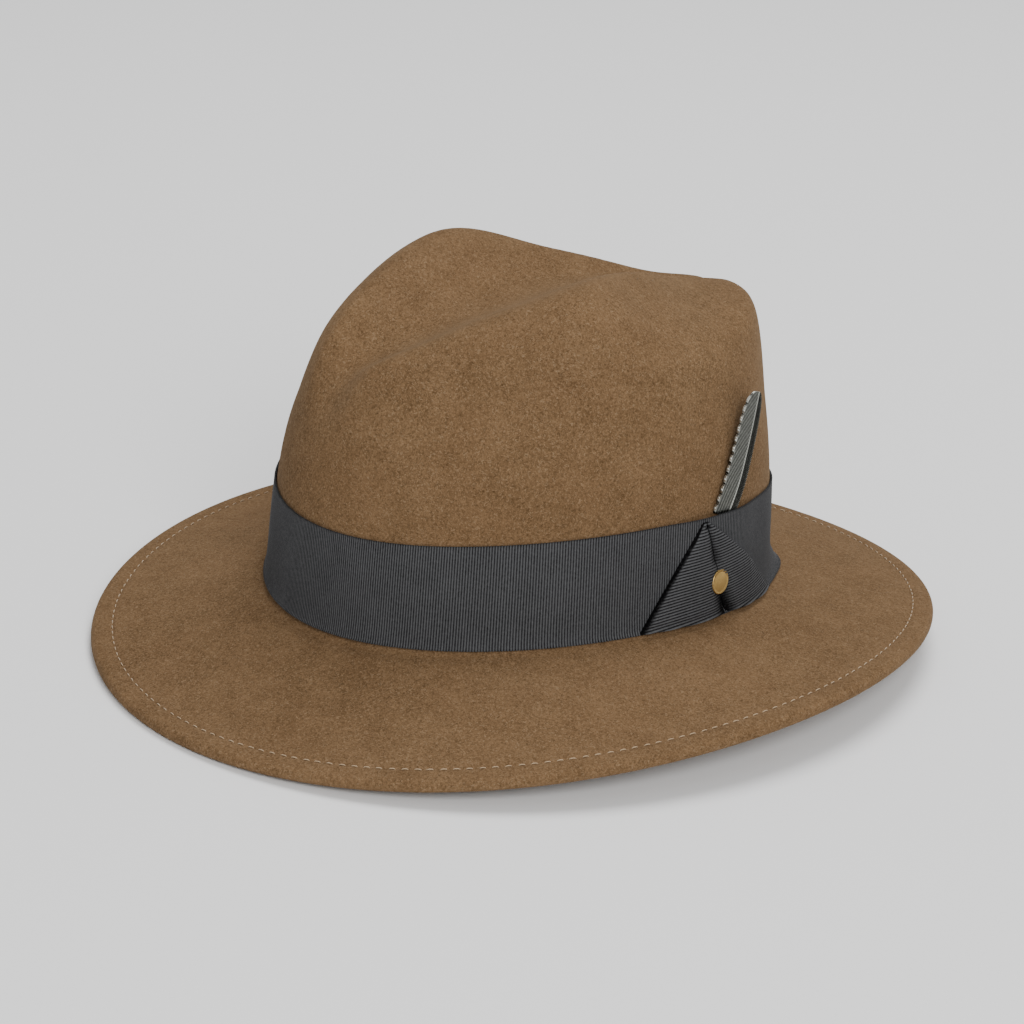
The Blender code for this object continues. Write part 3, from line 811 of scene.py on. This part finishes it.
def make_feather(finish):
    """A cast vane: scalloped front edge, slanting barbs, and a raised quill near its back."""
    foot, long, wide, out = feather_axes()
    rows, columns = 300, 72
    t = np.linspace(0, 1, rows)[:, None]
    y = (FEATHER_LONG + VANE_TUCK) * t - VANE_TUCK
    swell = np.minimum((1 - 0.2 * t) * np.sqrt(1 - t**10) + 0.06, 1.0)
    notch = np.abs(np.sin(np.pi * t * 12.5))
    front = FEATHER_FRONT * swell * (0.92 + 0.08 * notch)
    back = FEATHER_BACK * swell * (0.97 + 0.03 * np.abs(np.sin(np.pi * t * 31)))
    s = np.linspace(-1, 1, columns)[None, :]
    x = np.where(s < 0, s * front, s * back)
    bend = 1.1 * np.sin(np.pi * t) + 1.4
    near_edge = np.where(s < 0, 1 + s, 1 - s)
    slant = np.where(s < 0, 0.85, 1.2) * np.abs(x)
    barb = np.abs(np.sin(np.pi * (y - slant) / 1.05))**1.3
    quill = np.exp(-(x / (0.42 - 0.15 * t))**2)
    lip = np.exp(-(near_edge * np.where(s < 0, front, back) / 0.6)**2)
    low = 0.15 + 1.2 * np.sin(np.pi * np.minimum(t * 1.4, 0.5))
    raised = np.clip(0.72 * barb * (1 - quill) * np.where(s < 0, 1, 0.6) + 0.9 * quill
                     + 1.0 * lip * (s < 0) * notch**2 + 0.15 * lip * (s > 0), 0, 1)
    dish = -0.35 * (x / FEATHER_FRONT)**2
    height = low + 0.40 + 0.45 * quill + 0.26 * barb * (1 - quill) + 0.22 * lip + dish
    flat = low + dish - 0.05

    def lay(height):
        return (foot + (x + bend)[..., None] * wide + y[..., None] * long
                + np.broadcast_to(height, x.shape)[..., None] * out)

    obj = shell("feather_vane", lay(height), lay(flat), wrap=False, marks={"raised": raised})
    obj.data.set_sharp_from_angle(angle=math.radians(80))
    put(obj, finish, "feather_metal", "metal_feather", body="feather")
    ys = np.array([-STEM_LONG, -STEM_LONG + 0.5, -8, -VANE_TUCK - 0.2, -VANE_TUCK + 1.2])
    narrow = np.array([0.5, 1, 1, 1, 0.8])
    grid = [[foot + (bend[0, 0] * np.clip((v + 17) / 15, 0, 1) + u * STEM_WIDE / 2 * n) * wide
             + v * long + h * out for u, h in
             ((-1, 0.02), (-1, STEM_THICK - 0.2), (-0.8, STEM_THICK), (0.8, STEM_THICK),
              (1, STEM_THICK - 0.2), (1, 0.02))] for v, n in zip(ys, narrow)]
    faces = grid_faces(5, 6) + [list(range(6)), list(range(24, 30))]
    stem = mesh_piece("feather_stem", np.array(grid).reshape(-1, 3), faces,
                      {"raised": np.full(30, 0.4)}, smooth=False)
    round_shading(stem)
    put(stem, finish, "feather_metal", body="feather")


# ---------------------------------------------------------------- inside the hat

def make_sweatband(leather, reed, ribbon):
    phi = np.arange(480) * TURN / 480
    inside = -(FELT + CLEAR + LINING + CLEAR)
    heights = np.concatenate([np.linspace(7.0, 12, 6), np.linspace(14, SWEATBAND_HIGH, 16)])
    front, back = [], []
    for height in heights:
        soft = 0.35 * smooth((height - 38) / 6) * (1 + 0.5 * np.sin(9 * phi) + 0.3
                                                   * np.sin(17 * phi + 2))
        bulge = 0.55 * np.exp(-((height - 8) / 2.0)**2)
        back.append(on_wall(phi, height, inside - soft))
        front.append(on_wall(phi, height, inside - SWEATBAND - soft - bulge))
    obj = shell("sweatband_leather", np.array(front), np.array(back))
    put(obj, leather, "sweatband_leather", "sweatband")
    z = np.full_like(phi, 7.0 - 1.4)
    centre = on_wall(phi, z, inside - SWEATBAND / 2)
    points, faces = tube(centre, np.tile((0.0, 0.0, 1.0), (480, 1)), 1.1, 12)
    put(weld(mesh_piece("reed", points, faces)), reed, "reed", "sweatband_reed")
    make_bow(ribbon, inside - SWEATBAND - CLEAR)


def make_bow(ribbon, face):
    """Two flat loops and a knot, where the sweatband's ends meet at the back."""
    rows, columns = 49, 15
    u = np.linspace(-1, 1, rows)[:, None]
    v = np.linspace(-1, 1, columns)[None, :]
    loop = np.sin(np.pi * np.abs(u))
    tall = 1.5 + 3.1 * np.abs(u)**0.8
    phi = np.pi + u * 8.4 / HALF_LONG + 0 * v
    z = 30 + v * tall
    pleat = 0.18 * np.cos(3 * np.pi * v) * (1 - np.abs(u))
    front = on_wall(phi, z, face - 0.75 - 0.35 * loop - pleat)
    back = on_wall(phi, z, face - 0.1)
    rib = np.abs(np.cos(np.pi * u * 9)) + 0 * v
    obj = shell("bow_loops", front, back, wrap=False, marks={"rib": rib})
    put(obj, ribbon, "bow_ribbon", "sweatband_bow")
    turn = np.linspace(-1, 1, 13)[:, None]
    width = np.linspace(-1, 1, 9)[None, :]
    z = 30 + 2.6 * np.sin(turn * np.pi / 2) + 0 * width
    out = face - 0.6 - 1.0 * np.cos(turn * np.pi / 2)**0.7 + 0 * width
    phi = np.pi + width * 1.5 / HALF_LONG + 0 * turn
    knot = shell("bow_knot", on_wall(phi, z, out), on_wall(phi, z, out + 0.4), wrap=False,
                 marks={"rib": np.abs(np.cos(np.pi * width * 2)) + 0 * turn})
    put(knot, ribbon, "bow_ribbon")


def make_lining(finish):
    """A side gathered a little at its seam, and an oval tip that follows the crown."""
    phi = np.arange(480) * TURN / 480
    lines = crown(phi)
    normals = outward(lines)
    index = np.arange(len(phi))

    def row(place, depth):
        low = np.minimum(np.floor(place).astype(int), CROWN_STEPS - 1)
        part = (place - low)[:, None]
        point = lines[index, low] * (1 - part) + lines[index, low + 1] * part
        normal = normals[index, low] * (1 - part) + normals[index, low + 1] * part
        normal[place >= CROWN_STEPS - 1e-6, 0] = 0
        normal /= np.linalg.norm(normal, axis=1, keepdims=True)
        return point - normal * np.broadcast_to(depth, len(phi))[:, None]

    def rows_between(start, end, count, back, front):
        base = np.array([np.interp(LINING_LOW, line[:WALL_STEPS, 2], np.arange(WALL_STEPS))
                         for line in lines])
        outer, inner = [], []
        for s in np.linspace(start, end, count):
            place = base + (CROWN_STEPS - base) * s
            outer.append(row(place, back(s)))
            inner.append(row(place, front(s)))
        return np.array(inner), np.array(outer)

    gather = 0.22 * (np.sin(phi * 150) * 0.6 + np.sin(phi * 71 + 1) * 0.4)
    share = 6 / 18
    front, back = rows_between(
        0.0, share * 1.1, 44, lambda s: FELT + CLEAR + 0.05,
        lambda s: FELT + CLEAR + LINING + 0.25 + gather * smooth(s / 0.3))
    side = shell("lining_gathered_side", front, back)
    put(side, finish, "lining_satin", "lining_side")
    front, back = rows_between(
        share * 1.115, 1.0, 70, lambda s: FELT + LOOSE,
        lambda s: FELT + LOOSE + LINING + gather * 0.6 * (1 - smooth((s - 0.36) / 0.08)))
    tip = shell("lining_oval_tip", front, back)
    weld(tip)
    put(tip, finish, "lining_satin", "lining_tip")


# ---------------------------------------------------------------- floor, light and camera

def make_floor():
    data = bpy.data.meshes.new("floor")
    data.from_pydata([(-6, -6, 0), (6, -6, 0), (6, 6, 0), (-6, 6, 0)], [], [(0, 1, 2, 3)])
    floor = bpy.data.objects.new("floor", data)
    bpy.context.scene.collection.objects.link(floor)
    finish = Finish("pale_floor", Roughness=0.9, Specular_IOR_Level=0.1)
    finish.shader.inputs["Base Color"].default_value = colour(0.92, 0.92, 0.92)
    data.materials.append(finish.material)


def make_light(name, place, target, size, power):
    data = bpy.data.lights.new(name, "AREA")
    data.shape, data.size = "DISK", size
    data.energy = power
    lamp = bpy.data.objects.new(name, data)
    bpy.context.scene.collection.objects.link(lamp)
    lamp.location = place
    away = Vector(place) - Vector(target)
    lamp.rotation_mode = "QUATERNION"
    lamp.rotation_quaternion = away.to_track_quat("Z", "Y")


def make_lights():
    aim = (0, 0, 0.07)
    make_light("window", (2.05, -0.85, 1.40), aim, 1.2, 50)
    make_light("overhead", (-0.45, 0.75, 2.4), aim, 1.6, 50)
    room = bpy.data.worlds.new("studio")
    bpy.context.scene.world = room
    room.use_nodes = True
    sky = room.node_tree.nodes["Background"]
    sky.inputs["Color"].default_value = (1.0, 1.0, 1.0, 1.0)
    sky.inputs["Strength"].default_value = 0.42


def make_camera():
    azimuth, height, roll = math.radians(53.582), math.radians(21.342), math.radians(2.409)
    back = Vector((math.sin(azimuth) * math.cos(height), -math.cos(azimuth) * math.cos(height),
                   math.sin(height)))
    level = Vector((math.cos(azimuth), math.sin(azimuth), 0))
    above = back.cross(level)
    right = level * math.cos(roll) + above * math.sin(roll)
    up = above * math.cos(roll) - level * math.sin(roll)
    data = bpy.data.cameras.new("camera")
    data.lens, data.sensor_width = 104.0, 36.0
    data.shift_x, data.shift_y = -0.01013, -0.03243
    camera = bpy.data.objects.new("camera", data)
    bpy.context.scene.collection.objects.link(camera)
    aim = Vector(opening["pos_m"]) + Vector((0, -0.000822, 0.036222))
    place = aim + back * 1.166
    camera.matrix_world = Matrix([[right[i], up[i], back[i], place[i]] for i in range(3)]
                                 + [[0, 0, 0, 1]])
    bpy.context.scene.camera = camera


def main():
    felt, thread, grosgrain = felt_finish(), thread_finish(), grosgrain_finish()
    gilt, pewter = brass_finish(), pewter_finish()
    make_camera()
    make_felt(felt)
    make_stitches(thread)
    make_band(grosgrain)
    make_fold("tab_fold_front", "tab_front_fold", grosgrain, TAB_FRONT, -1)
    make_fold("tab_fold_back", "tab_back_fold", grosgrain, TAB_BACK, 1)
    make_stud(gilt)
    washer = frame["nodes"]["stud_washer"]
    washer.data.materials.clear()
    washer.data.materials.append(gilt.material)
    make_feather(pewter)
    make_sweatband(leather_finish(), reed_finish(), grosgrain)
    make_lining(satin_finish())
    make_floor()
    make_lights()


main()
